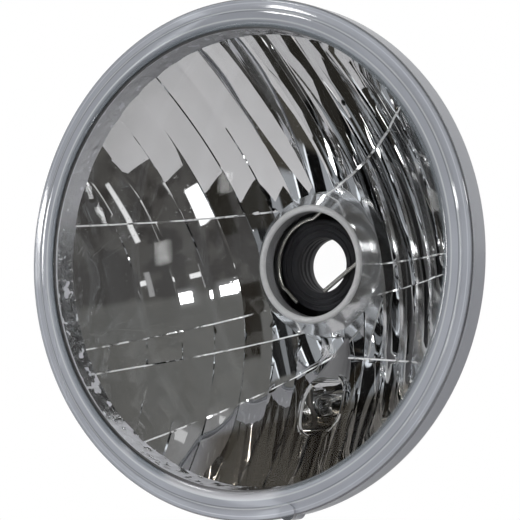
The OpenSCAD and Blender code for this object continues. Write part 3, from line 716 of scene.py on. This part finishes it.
class HEADLIGHT_OT_reflector(bpy.types.Operator):
    """Builds the faceted bowl with its collar, neck, ribs and flange"""
    bl_idname = "headlight.reflector"
    bl_label = "Reflector"

    def execute(self, context):
        lamp = sizes_now()
        facets = Facets(lamp, context.scene.headlight_facets)
        body = self.blank(lamp)
        for tool in [self.ribs(lamp), self.lugs(lamp)] + self.tubes(lamp):
            cut(body, tool, "UNION")
        tool = facets.space("field")
        cut(tool, self.chamber(lamp), "INTERSECT")
        cut(tool, self.slot("boss", lamp, lamp.socket_radius, lamp.niche, self.mouth(lamp)))
        cut(tool, self.bead(lamp))
        cut(tool, self.fairing(lamp))
        cut(body, tool)
        for hole in self.holes(lamp):
            cut(body, hole)
        smooth(body, 14)
        colours = context.scene.headlight_colours
        body.data.materials.clear()
        for made in (mirror_material(colours, facets.width), moulding_material(colours), satin_material(colours),
                     ledge_material(colours), soft_mirror_material(colours), wall_material(colours, lamp.band_back)):
            body.data.materials.append(made)
        self.mark_faces(body, lamp, facets)
        body.name = "reflector_bowl"
        settle(body, "reflector")
        return {"FINISHED"}

    def chamber(self, lamp, deep=-70, high=20):
        """What the field of facets is trimmed to: the collar inside, the steep wall outside."""
        profile = [(0, lamp.lip_front)] + self.lip(lamp)
        profile += [(lamp.collar_base, lamp.bowl(lamp.collar_base)), (lamp.collar_base, deep), (lamp.bowl_radius, deep),
                    (lamp.bowl_radius, lamp.bowl(lamp.bowl_radius)), (lamp.land_radius, lamp.band_back)]
        return turned("chamber", profile + [(lamp.land_radius, high), (0, high)])

    def blank(self, lamp):
        """Bowl, flange, ridge and neck before the front is cut, as one profile."""
        inner = lamp.bowl_back_radius(0)
        half = lamp.ridge_width / 2
        top = lamp.band_back - lamp.sealant_gap
        back = [(inner + (lamp.neck_radius - inner) * i / 24) for i in range(1, 25)]
        land = lamp.land_radius + lamp.land_width
        profile = [
            (lamp.bulb_hole, lamp.seat), (lamp.bulb_hole, lamp.band_back), (land, lamp.band_back),
            (land, lamp.flange_depth), (lamp.ridge_radius - half, lamp.flange_depth),
            (lamp.ridge_radius - half, top), (lamp.ridge_radius + half, top),
            (lamp.ridge_radius + half, lamp.flange_depth), (lamp.flange_radius, lamp.flange_depth),
            (lamp.flange_radius, 0), (inner, 0)]
        profile += [(r, lamp.bowl_back(r)) for r in back]
        profile += [(lamp.neck_radius, lamp.neck_end), (lamp.neck_inner, lamp.neck_end), (lamp.neck_inner, lamp.ledge),
                    (lamp.pocket_radius, lamp.ledge), (lamp.pocket_radius, lamp.seat)]
        return turned("reflector_bowl", profile)

    def lip(self, lamp, steps=10):
        """The collar's front edge, as a half round from the bore to the outside."""
        half = lamp.lip_wall / 2
        high = half * 0.8
        return [(lamp.bulb_hole + half - half * math.cos(t), lamp.lip_front - high + high * math.sin(t))
                for t in (math.pi * i / steps for i in range(steps + 1))]

    def ribs(self, lamp, count=8, thick=2.0, high=3.4, reach=62.0, grip=9.0, steps=12):
        """Low walls along the bowl's back, from the neck outwards."""
        inner = lamp.neck_radius - 1
        foot = lamp.neck_end + grip + 1
        outline = [(inner, foot), (lamp.neck_radius + 3, foot)]
        for i in range(steps + 1):
            r = lamp.neck_radius + 5 + (reach - lamp.neck_radius - 5) * i / steps
            outline.append((r, lamp.bowl_back(r) - high * (1 - i / steps)))
        for i in range(steps, -1, -1):
            r = inner + (reach - inner) * i / steps
            outline.append((r, lamp.bowl_back(r) + lamp.bowl_wall / 3))
        rib = skin("ribs", [[(r, a, s * thick / 2) for r, a in outline] for s in (-1, 1)])
        return grow(rib, copies_tree(), count=count, first_turn=math.pi / count)

    def lugs(self, lamp, count=3, high=1.5, wide=6.0, deep=3.4):
        """Small blocks on the flange's edge, from straight down."""
        inner = lamp.flange_radius - 4
        lug = skin("lugs", [[(inner + r, a, s * wide / 2) for r, s in ((0, -1), (deep, -1), (deep, 1), (0, 1))]
                            for a in (0.5, -high)])
        return grow(lug, copies_tree(), count=count, first_turn=math.pi / 2)

    def slot_outline(self, lamp, radius, steps=48):
        """An upright oval round the position lamp, as (x, z) points."""
        points = []
        for side in (1, -1):
            for i in range(steps + 1):
                t = math.pi * i / steps
                high = lamp.niche_stretch + radius * math.sin(t)
                points.append((side * radius * math.cos(t), side * high - lamp.pilot_drop))
        return points

    def slot(self, name, lamp, radius, a0, top):
        """A solid with that outline, from a depth to a flat or slanted top."""
        outline = self.slot_outline(lamp, radius)
        return skin(name, [[(x, a0, z) for x, z in outline], [(x, top(z), z) for x, z in outline]], merge=DOUBLES)

    def mouth(self, lamp, slant=35.0, lift=1.6):
        """Depth of the niche's slanted mouth at a height."""
        rise = math.tan(math.radians(slant))
        return lambda z: lamp.bowl(lamp.pilot_drop) + lift - (z + lamp.pilot_drop) * rise

    def bead(self, lamp, sides=12):
        """A round bead along the niche's mouth."""
        mouth = self.mouth(lamp)
        line = [(x, mouth(z), z) for x, z in self.slot_outline(lamp, lamp.niche_radius + BEAD, 36)]
        rings = []
        for i, centre in enumerate(line):
            before, after = line[i - 1], line[(i + 1) % len(line)]
            along = Vector([b - a for a, b in zip(before, after)]).normalized()
            out = along.cross(Vector((0, 1, 0))).normalized()
            rings.append(circle(Vector(centre), BEAD, out, along.cross(out), sides))
        return skin("bead", rings, True, DOUBLES)

    def tubes(self, lamp, radius=3.0):
        """The position lamp's socket and the breather tube."""
        front = lamp.bowl(lamp.pilot_drop + lamp.socket_radius + lamp.niche_stretch)
        vent_front = lamp.bowl(lamp.vent_distance - radius) - lamp.bowl_wall / 2
        return [
            self.slot("socket", lamp, lamp.socket_radius, lamp.socket_end, lambda z: front),
            rod("vent", lamp.vent_x, lamp.vent_z, lamp.vent_back - 5, vent_front, radius)]

    def fairing_line(self, lamp, across=6.5, sink=2.2):
        """Where the fairing starts, its direction and its length."""
        drop, end = lamp.collar_base + 3.5, lamp.pilot_drop - 5
        tip = Vector((across, lamp.bowl(math.hypot(across, drop)), -drop))
        way = Vector((0, lamp.bowl(end) - sink, -end)) - tip
        return tip, way.normalized(), way.length

    def fairing(self, lamp, steps=64):
        """A cone that lies half sunk in the bowl, from beside the collar to the niche."""
        tip, way, long = self.fairing_line(lamp)
        side = way.cross(Vector((1, 0, 0))).normalized()
        other = way.cross(side)
        return skin("fairing", [circle(tip, FAIRING_TIP, side, other, steps),
                                circle(tip + way * long, lamp.fairing_radius, side, other, steps)])

    def holes(self, lamp, hole=5.5):
        """Everything that is open from the back: niche, its well, breather and rivet holes."""
        made = [
            self.slot("niche", lamp, lamp.niche_radius, lamp.niche, lambda z: 0.0),
            rod("hole", 0, -lamp.pilot_drop, lamp.socket_end - 1, lamp.niche + 1, hole),
            rod("well", 0, -lamp.pilot_drop, lamp.socket_end - 1, lamp.socket_back, lamp.niche_radius - 0.4),
            rod("vent", lamp.vent_x, lamp.vent_z, lamp.vent_back - 6, 0, 1.0, 24)]
        r = lamp.pocket_radius + lamp.ledge_width / 2
        for t in (math.radians(90 + 120 * i) for i in range(3)):
            made.append(rod("rivet", r * math.cos(t), r * math.sin(t), lamp.ledge - 1, lamp.ledge + 2, 0.9, 24))
        return made

    def mark_faces(self, body, lamp, facets):
        """The coating covers what faces the lens, and the rest is bare. Edges and small forms shine less."""
        mouth = self.mouth(lamp)
        tip, way, long = self.fairing_line(lamp)
        for face in body.data.polygons:
            x, y, z = (c / MM for c in face.center)
            r, a = math.hypot(x, z), -y
            oval = math.hypot(x, max(abs(z + lamp.pilot_drop) - lamp.niche_stretch, 0.0))
            from_tip = Vector((x, a, z)) - tip
            along = from_tip.dot(way)
            off = (from_tip - way * along).length
            girth = FAIRING_TIP + (lamp.fairing_radius - FAIRING_TIP) * along / long
            front = r < lamp.land_radius + 0.1 and a > lamp.bowl(r) - 2.0 and r > lamp.collar_base - 0.5
            cone = lamp.bulb_hole + 0.01 < r < lamp.collar_base and a > lamp.seat + 0.05
            niche = oval < lamp.socket_radius - 0.4 and a > lamp.niche - 0.2
            edge = front and any(abs(z - facets.line(k, x)) < facets.ledge * 0.52 for k in range(1, len(ROWS) - 1))
            mark = BARE
            if front or niche:
                mark = ROW_STEP if edge and not niche else MIRROR
            if cone:
                mark = SOFT
            if 0 < along < long + 1 and abs(off - girth) < 0.12 and a > lamp.bowl(r) - 1.0:
                mark = BARE
            if niche and abs(oval - lamp.niche_radius - BEAD) < 0.95 and abs(a - mouth(z)) < 0.95:
                mark = SATIN
            if lamp.bulb_hole + 0.01 < r < lamp.lip_radius + 0.01 and a > lamp.lip_front - 1.3:
                mark = SATIN
            if front and r > lamp.bowl_radius - 0.05:
                mark = WALL
            face.material_index = mark


class HEADLIGHT_OT_lens(bpy.types.Operator):
    """Builds the domed lens with its thick rim"""
    bl_idname = "headlight.lens"
    bl_label = "Lens"

    def execute(self, context):
        lamp = sizes_now()
        profile = self.dome(lamp, lamp.dome_radius, lamp.rim_depth)[::-1]
        profile += self.dome(lamp, lamp.dome_radius - lamp.lens_wall, lamp.band_back)
        step, low = lamp.rim_radius - lamp.rim_step_width, lamp.rim_depth - lamp.rim_step
        profile += [(lamp.groove_radius, lamp.band_back), (lamp.groove_radius, 0), (lamp.rim_radius - 0.4, 0),
                    (lamp.rim_radius, 0.4)]
        profile += arc((lamp.rim_radius - lamp.rim_round, low - lamp.rim_round), lamp.rim_round, 0, 90, 8)
        profile += [(step + 1.1, low), (step + 0.8, low + 0.05), (step + 0.5, low + 0.25), (step + 0.3, low + 0.4)]
        crest = lamp.band_radius + 2.6
        profile += [(crest + (step + 0.1 - crest) * math.cos(t), lamp.rim_depth - 0.2 * (1 - math.sin(t)))
                    for t in (math.radians(10 * i) for i in range(10))]
        profile += [(crest - (crest - lamp.band_radius - 0.4) * math.sin(t), lamp.rim_depth - 0.35 * (1 - math.cos(t)))
                    for t in (math.radians(10 * i) for i in range(1, 10))]
        piece = turned("lens_dome", profile, 256)
        nub = rod("nub", 0, -(lamp.rim_radius + lamp.nub_out - lamp.nub_diameter / 2), low - 6.4,
                  lamp.rim_depth + 0.5, lamp.nub_diameter / 2)
        cut(nub, rod("groove", 0, 0, -1, lamp.band_back, lamp.groove_radius, 256))
        cut(piece, nub, "UNION")
        made = lens_material(context.scene.headlight_colours, context.scene.headlight_sizes)
        dress(piece, made, "lens", 25)
        return {"FINISHED"}

    def dome(self, lamp, radius, end, steps=48):
        """One surface of the dome, from its middle to a depth."""
        last = math.acos((end - lamp.dome_centre) / radius)
        return [(radius * math.sin(last * i / steps), lamp.dome_centre + radius * math.cos(last * i / steps))
                for i in range(steps + 1)]


def around(x, a, z, degrees):
    """A point turned about the lamp's axis, anticlockwise as seen from the front."""
    t = math.radians(degrees)
    return x * math.cos(t) - z * math.sin(t), a, x * math.sin(t) + z * math.cos(t)


class HEADLIGHT_OT_bulb_seat(bpy.types.Operator):
    """Finishes the seat ring, its rivets and the clip's spring wire"""
    bl_idname = "headlight.bulb_seat"
    bl_label = "Bulb seat"

    def execute(self, context):
        lamp = sizes_now()
        colours = context.scene.headlight_colours
        steel = metal_material("plated_steel", colours.steel)
        paint(NODES["bulb_seat_ring"], steel)
        rivets = grow(self.rivet(lamp), copies_tree(), count=3, first_turn=-math.pi / 2, material=steel)
        dress(rivets, steel, "seat_rivets")
        spring = metal_material("spring_wire", (0.80, 0.78, 0.72), 0.16, 900.0)
        wire = grow(line_piece("clip_wire", self.clip_line(lamp)), wire_tree(),
                    radius=lamp.wire_diameter / 2 * MM, points=260, sides=16, material=spring)
        dress(wire, spring, "retaining_clip")
        return {"FINISHED"}

    def rivet(self, lamp, radius=0.9, head=1.5, high=0.7):
        """One rivet with a domed head, at the right of the axis."""
        r = lamp.pocket_radius + lamp.ledge_width / 2
        face = lamp.ledge - lamp.ring_thickness
        profile = [(0, lamp.ledge + 2), (radius, lamp.ledge + 2), (radius, face), (head, face)]
        profile += [(head * math.cos(t), face - high * math.sin(t))
                    for t in (math.radians(15 * i) for i in range(1, 6))]
        return turned("rivets", profile + [(0, face - high)], 32, (r, 0))

    def clip_line(self, lamp, slant=22.0, gap=0.5):
        """The clip's middle line: a straight leg below, out to the ledge, and back as a bow."""
        half = lamp.wire_diameter / 2
        lie = lamp.seat - lamp.ring_thickness - half
        out = lamp.ledge - lamp.ring_thickness - half
        end_r = lamp.neck_inner - half - 0.4
        side_r = lamp.pocket_radius - lamp.ring_thickness - half - gap
        side_x = math.sqrt(side_r ** 2 - lamp.leg_drop ** 2)
        bow = lamp.bulb_hole - lamp.bow_inset

        def ring(r, a, degrees):
            return r * math.cos(math.radians(degrees)), a, r * math.sin(math.radians(degrees))

        line = [(-4 + (side_x + 3.4) * i / 8, lie, -lamp.leg_drop) for i in range(9)]
        line += [(side_x, (lie + out) / 2, -lamp.leg_drop), (side_x + 0.6, out, -lamp.leg_drop)]
        line += [ring(end_r, out, -16 + 8 * i) for i in range(7)]
        line += [ring(side_r + 0.5, out, 40), ring(side_r, (lie + out) / 2, 43), ring(side_r, lie, 47)]
        line += [ring(bow, lie, 62 + 5.5 * i) for i in range(21)]
        line += [ring(bow - 1, lie, 182 + 9 * i) for i in range(3)]
        return [around(x, a, z, slant) for x, a, z in line]


class HEADLIGHT_OT_rubber(bpy.types.Operator):
    """Builds the dust boot, the breather's cap and the position lamp's grommet"""
    bl_idname = "headlight.rubber"
    bl_label = "Rubber parts"

    def execute(self, context):
        lamp = sizes_now()
        rubber = rubber_material(context.scene.headlight_colours)
        boot = self.boot(lamp)
        for side in (-1, 1):
            cut(boot, self.tab(lamp, side), "UNION")
        dress(boot, rubber, "dust_boot", 35)
        dress(self.breather(lamp), rubber, "breather_cap", 35)
        dress(self.grommet(lamp), rubber, "pilot_grommet", 35)
        return {"FINISHED"}

    def boot(self, lamp):
        """A sleeve on the neck, a cone inwards and a tube with folds, as one profile."""
        front, hole_end, end, sleeve = lamp.boot_front, lamp.boot_hole_end, lamp.boot_end, lamp.sleeve_radius
        lead = lamp.neck_end + lamp.boot_grip
        hole, tube = lamp.boot_hole, lamp.boot_tube
        profile = [(hole, hole_end)]
        # The opening's three folds, then the front face with its rounded steps
        for i in range(3):
            top = front - 1.6 - (lamp.boot_length - 2.6) * (2 - i) / 3
            profile += [(hole, top - 1.2), (hole + 0.7, top - 0.7), (hole + 0.7, top - 0.2), (hole, top + 0.2)]
        profile += arc((hole + 1.0, front - 1.0), 1.0, 180, 90, 5)
        for r in (hole + 2.6, hole + 4.8):
            profile += [(r - 0.5, front), (r - 0.3, front - 0.4), (r + 0.3, front - 0.4), (r + 0.5, front)]
        profile += arc((tube - 0.8, front - 0.8), 0.8, 90, 0, 4)
        profile += [(tube, hole_end + 3.6), (tube + 0.3, hole_end + 3.1), (lamp.neck_inner - 0.5, lamp.neck_end),
                    (lamp.neck_radius, lamp.neck_end), (lamp.neck_radius, lead)]
        profile += [(lamp.neck_radius + 0.8, lead + 0.8), (sleeve + 0.5, lead + 0.2), (sleeve + 0.8, lead - 0.3),
                    (sleeve + 0.8, lead - 1.8), (sleeve + 0.5, lead - 2.3), (sleeve, lead - 2.6)]
        for foot in (lead - 3.8, lead - 6.4):
            profile += [(sleeve, foot), (sleeve + 0.5, foot - 0.15), (sleeve + 0.8, foot - 0.45),
                        (sleeve + 0.8, foot - 0.95), (sleeve + 0.5, foot - 1.25), (sleeve, foot - 1.4)]
        profile += arc((sleeve - 1.6, end + 1.6), 1.6, 0, -90, 6)
        profile += arc((lamp.neck_inner - 1, end + 1.0), 1.0, -90, -150, 3)
        profile += [(tube + 1, hole_end - 0.4), (hole + 2, hole_end - 1.4), (hole + 0.8, hole_end - 1.2)]
        return turned("boot", profile, 128)

    def tab(self, lamp, side, thick=2.2, wide=11.0, long=9.0, hole=2.0, steps=24):
        """A pull tab with a hole, over four outlines that break its edges."""
        end = lamp.boot_end + 1.6
        start, tip = lamp.sleeve_radius - 1.3, lamp.sleeve_radius + long - wide / 2

        def outline(inset):
            points = [(start, -wide / 2 + inset)]
            points += [(tip + (wide / 2 - inset) * math.cos(t), (wide / 2 - inset) * math.sin(t))
                       for t in (math.radians(-90 + 180 * i / steps) for i in range(steps + 1))]
            return points + [(start, wide / 2 - inset)]

        levels = [(end, 0.5), (end + 0.5, 0.0), (end + thick - 0.5, 0.0), (end + thick, 0.5)]
        piece = skin("tab", [[(x * side, a, z) for x, z in outline(inset)] for a, inset in levels])
        return cut(piece, rod("tab_hole", side * tip, 0, end - 1, end + thick + 1, hole, 32))

    def breather(self, lamp, tube=3.0, wall=1.8, long=5.0):
        back, front, outer = lamp.vent_back - long, lamp.vent_back - 1, tube + wall
        profile = [(0, back), (tube, back), (tube, front)]
        profile += arc((outer - 0.6, front - 0.6), 0.6, 90, 0, 4)
        profile += [(outer, front - 1.6), (outer - 0.4, front - 1.9), (outer - 0.4, back - 0.6)]
        profile += arc((outer - 1.4, back - wall + 1.0), 1.0, 0, -90, 5)
        return turned("breather", profile + [(0, back - wall)], 64, (lamp.vent_x, lamp.vent_z))

    def grommet(self, lamp, rim=2.0, hole=5.3):
        back = lamp.socket_end - rim
        outer, well = lamp.socket_radius + 0.6, lamp.niche_radius - 0.4
        profile = [(hole, back + 0.3), (hole, lamp.socket_back), (well - 0.4, lamp.socket_back),
                   (well, lamp.socket_back - 0.5)]
        for i in range(3):
            a = lamp.socket_back - 1.6 - 1.9 * i
            profile += [(well, a), (well - 0.35, a - 0.3), (well - 0.35, a - 0.7), (well, a - 1.0)]
        profile += [(well, back + rim), (outer - 0.3, back + rim)]
        profile += arc((outer - 0.7, back + 0.7), 0.7, 0, -90, 4)
        return turned("grommet", profile + [(hole + 0.3, back)], 96, (0, -lamp.pilot_drop))


class HEADLIGHT_OT_position_lamp(bpy.types.Operator):
    """Finishes the lens seal and the position lamp with its bulb"""
    bl_idname = "headlight.position_lamp"
    bl_label = "Position lamp"

    def execute(self, context):
        lamp = sizes_now()
        colours = context.scene.headlight_colours
        brass = metal_material("brass", colours.brass, 0.22)
        nickel = metal_material("nickel", (0.66, 0.65, 0.62), 0.2)
        glass = plain_material("bulb_glass", (1.0, 1.0, 1.0), 0.0, 1.0)
        tungsten = metal_material("tungsten", (0.35, 0.33, 0.30), 0.3)
        paint(NODES["lens_sealant"], plain_material("sealant", (0.42, 0.45, 0.49), 0.5))
        paint(NODES["pilot_holder"], plain_material("holder", (0.55, 0.53, 0.48), 0.5))
        paint(NODES["pilot_contacts"], brass)
        centre = (0.0, -lamp.pilot_drop)
        foot = lamp.bulb_foot
        back = lamp.socket_end - 2.4
        cap = [(0, back), (3.6, back), (4.5, back + 0.6), (4.5, foot - 1.6), (4.25, foot - 1.3), (4.25, foot - 1.0)]
        cap += arc((4.1, foot - 0.4), 0.4, -60, 90, 6) + [(0, foot)]
        dress(turned("bulb_cap", cap, 64, centre), nickel, "pilot_bulb_cap")
        dress(self.bulb(lamp, foot, centre), glass, "pilot_bulb_glass", 60)
        dress(self.stem(lamp, foot, centre), glass, "pilot_bulb_stem", 60)
        coil = grow(line_piece("filament", self.coil(lamp)), wire_tree(),
                    radius=0.09 * MM, points=400, sides=8, material=tungsten)
        dress(coil, tungsten, "pilot_filament", 60)
        return {"FINISHED"}

    def bulb(self, lamp, foot, centre, wall=0.7, steps=20):
        """The bulb's glass: a straight wall with a round top, open at its foot."""
        r = lamp.glass_diameter / 2
        top = foot + lamp.glass_length - r
        outside = [(r, foot)] + arc((0, top), r, 0, 90, steps)
        inside = [(r - wall, foot)] + arc((0, top), r - wall, 0, 90, steps)
        return turned("bulb_glass", outside + inside[::-1], 64, centre)

    def stem(self, lamp, foot, centre):
        """The pinched stem and the two leads that stand in it."""
        profile = [(0, foot), (2.0, foot), (1.9, foot + 1.2), (1.3, foot + 2.4), (1.0, foot + 3.0),
                   (0.6, foot + 3.4), (0, foot + 3.4)]
        piece = turned("bulb_stem", profile, 32, centre)
        for side in (-1, 1):
            lead = rod("lead", side * 1.3, centre[1], foot + 1.4, lamp.lead_end, 0.2, 16)
            cut(piece, lead, "UNION")
        return piece

    def coil(self, lamp, turns=14, radius=0.22, half=1.5, per_turn=10):
        """A fine coil between the leads."""
        a0 = lamp.lead_end + 0.1
        count = turns * per_turn
        return [(-half + 2 * half * i / count, a0 + radius * math.sin(2 * math.pi * i / per_turn),
                 -lamp.pilot_drop + radius * math.cos(2 * math.pi * i / per_turn)) for i in range(count + 1)]


class HEADLIGHT_OT_stage(bpy.types.Operator):
    """Sets the floor, the studio light and the camera"""
    bl_idname = "headlight.stage"
    bl_label = "Stage"

    def execute(self, context):
        self.floor()
        self.lamps()
        self.world(context.scene)
        self.camera(context.scene)
        context.scene.view_settings.view_transform = "Standard"
        return {"FINISHED"}

    def floor(self, drop=-0.15, size=1.8, turn=33.0, corner=(-0.112, -0.218)):
        """A pale sheet under the lamp, whose nearest corner lies in front of it and to the left."""
        corner = Vector(corner)
        front = Vector((math.cos(math.radians(turn)), math.sin(math.radians(turn)))) * size
        side = Vector((-0.14, 0.99)) * size
        corners = [corner, corner + front, corner + side, corner + front + side]
        floor = new_piece("floor", [(c.x * 1000, -c.y * 1000, drop * 1000) for c in corners], [(0, 1, 3, 2)])
        made, g, vector = material("pale_floor")
        shade = g.mix(g.noise(vector, 6.0), rgba((0.70, 0.69, 0.70)), rgba((0.74, 0.73, 0.74)))
        g.surface(g.principled(shade, 0.7))
        floor.data.materials.append(made)

    def world(self, scene):
        """White behind the lamp, and a dim room in front of it with a few bright places."""
        world = bpy.data.worlds.new("studio")
        world.use_nodes = True
        scene.world = world
        g = Graph(world.node_tree)
        direction = g.add("ShaderNodeTexCoord", output=0)
        x, y, z = g.parts(direction, 1.0)
        azimuth = g.maths("ARCTAN2", x, y * -1.0) * math.degrees(1)
        height = g.maths("ARCSINE", z) * math.degrees(1)

        def between(value, low, high, soft):
            return value.step(low - soft, low) * value.step(high + soft, high)

        def area(across, up):
            """1 between two azimuths and two heights. Each pair is followed by its softness."""
            return between(azimuth, *across) * between(height, *up)

        shade = g.mix(height.step(-34.0, -8.0), rgba((0.045, 0.042, 0.040)), rgba((0.066, 0.064, 0.062)))
        shade = g.mix(height.step(5.5, 9.5), shade, rgba((0.128, 0.128, 0.122)))
        shade = g.mix(height.step(67.0, 72.0), shade, rgba((0.25, 0.25, 0.25)))
        shade = g.mix(area((31.0, 42.0, 6.0), (6.0, 11.0, 4.0)), shade, rgba((0.24, 0.24, 0.24)))
        shade = g.mix(area((4.0, 21.0, 2.0), (10.0, 48.0, 4.0)), shade, rgba((0.018, 0.015, 0.011)))
        strips = g.mix(height.step(-20.0, 50.0), rgba((0.003, 0.003, 0.003)), rgba((0.009, 0.009, 0.009)))
        for left, right, level in STRIPS:
            strips = g.mix(between(azimuth, left, right, 0.7), strips, rgba((level, level * 1.05, level * 1.11)))
        clouds = g.noise(direction, 5.0, 3.0).step(0.46, 0.60) * 0.3
        shade = g.mix(clouds, shade, rgba((0.16, 0.157, 0.147)))
        shade = g.mix(area((-72.0, 5.0, 1.0), (-40.0, 60.0, 2.0)), shade, strips)
        below = between(azimuth, -90.0, 16.0, 2.0) * height.step(-38.0, -42.0)
        shade = g.mix(below, shade, rgba((0.060, 0.055, 0.046)))
        shade = g.mix(area((-15.0, 16.0, 3.0), (-47.0, -23.0, 3.0)), shade, rgba((0.026, 0.024, 0.020)))
        for left, right, low, high, level in BRIGHT_PLACES:
            shade = g.mix(area((left, right, 0.7), (low, high, 0.7)), shade, rgba((level, level, level)))
        shade = g.mix(y.step(0.02, 0.12), shade, rgba((1.0, 1.0, 1.0)))
        seen = g.add("ShaderNodeLightPath", output=0)
        shade = g.mix(seen, shade, rgba((1.0, 1.0, 1.0)))
        back = g.add("ShaderNodeBackground", sockets={"Color": shade, "Strength": 1.0})
        g.add("ShaderNodeOutputWorld", sockets={"Surface": back})

    def lamps(self):
        """Two soft lights that brighten what is matt, and keep out of the mirror."""
        for name, place, size, power in (("softbox_left", (-0.8, -0.9, 0.5), 0.7, 7.0),
                                         ("softbox_right", (0.9, -0.8, 0.1), 0.6, 6.0)):
            light = bpy.data.lights.new(name, "AREA")
            light.shape = "SQUARE"
            light.size = size
            light.energy = power
            lamp = bpy.data.objects.new(name, light)
            lamp.location = place
            lamp.rotation_euler = (-Vector(place)).to_track_quat("-Z", "Y").to_euler()
            lamp.visible_glossy = False
            lamp.visible_transmission = False
            bpy.context.scene.collection.objects.link(lamp)

    def camera(self, scene, distance=0.66, azimuth=31.4, elevation=-10.2, roll=11.7, frame_px=520.0,
               focal_px=1918.0, shift_px=(-8.4, -0.4)):
        """The place and lens found by fitting the rim, the collar and the position lamp in the photo."""
        phi, eps = math.radians(azimuth), math.radians(elevation)
        place = Vector((math.sin(phi) * math.cos(eps), -math.cos(phi) * math.cos(eps), math.sin(eps))) * distance
        data = bpy.data.cameras.new("camera")
        data.sensor_width = 36.0
        data.lens = 36.0 * focal_px / frame_px
        data.shift_x = -shift_px[0] / frame_px
        data.shift_y = shift_px[1] / frame_px
        camera = bpy.data.objects.new("camera", data)
        turn = (-place).to_track_quat("-Z", "Y").to_matrix().to_4x4() @ Matrix.Rotation(-math.radians(roll), 4, "Z")
        camera.matrix_world = Matrix.Translation(place) @ turn
        scene.collection.objects.link(camera)
        scene.camera = camera


class HEADLIGHT_PT_panel(bpy.types.Panel):
    bl_idname = "HEADLIGHT_PT_panel"
    bl_label = "Headlight"
    bl_space_type = "VIEW_3D"
    bl_region_type = "UI"
    bl_category = "Headlight"

    def draw(self, context):
        for step in STEPS:
            self.layout.operator(step.bl_idname)


STEPS = (HEADLIGHT_OT_stage, HEADLIGHT_OT_reflector, HEADLIGHT_OT_lens, HEADLIGHT_OT_bulb_seat,
         HEADLIGHT_OT_rubber, HEADLIGHT_OT_position_lamp)
CLASSES = (LampSizes, FacetSizes, LampColours) + STEPS + (HEADLIGHT_PT_panel,)


def register():
    for cls in CLASSES:
        bpy.utils.register_class(cls)
    bpy.types.Scene.headlight_sizes = PointerProperty(type=LampSizes)
    bpy.types.Scene.headlight_facets = PointerProperty(type=FacetSizes)
    bpy.types.Scene.headlight_colours = PointerProperty(type=LampColours)


def unregister():
    del bpy.types.Scene.headlight_colours
    del bpy.types.Scene.headlight_facets
    del bpy.types.Scene.headlight_sizes
    for cls in reversed(CLASSES):
        bpy.utils.unregister_class(cls)


def main():
    register()
    bpy.ops.headlight.stage()
    bpy.ops.headlight.reflector()
    bpy.ops.headlight.lens()
    bpy.ops.headlight.bulb_seat()
    bpy.ops.headlight.rubber()
    bpy.ops.headlight.position_lamp()


if __name__ == "__main__":
    main()
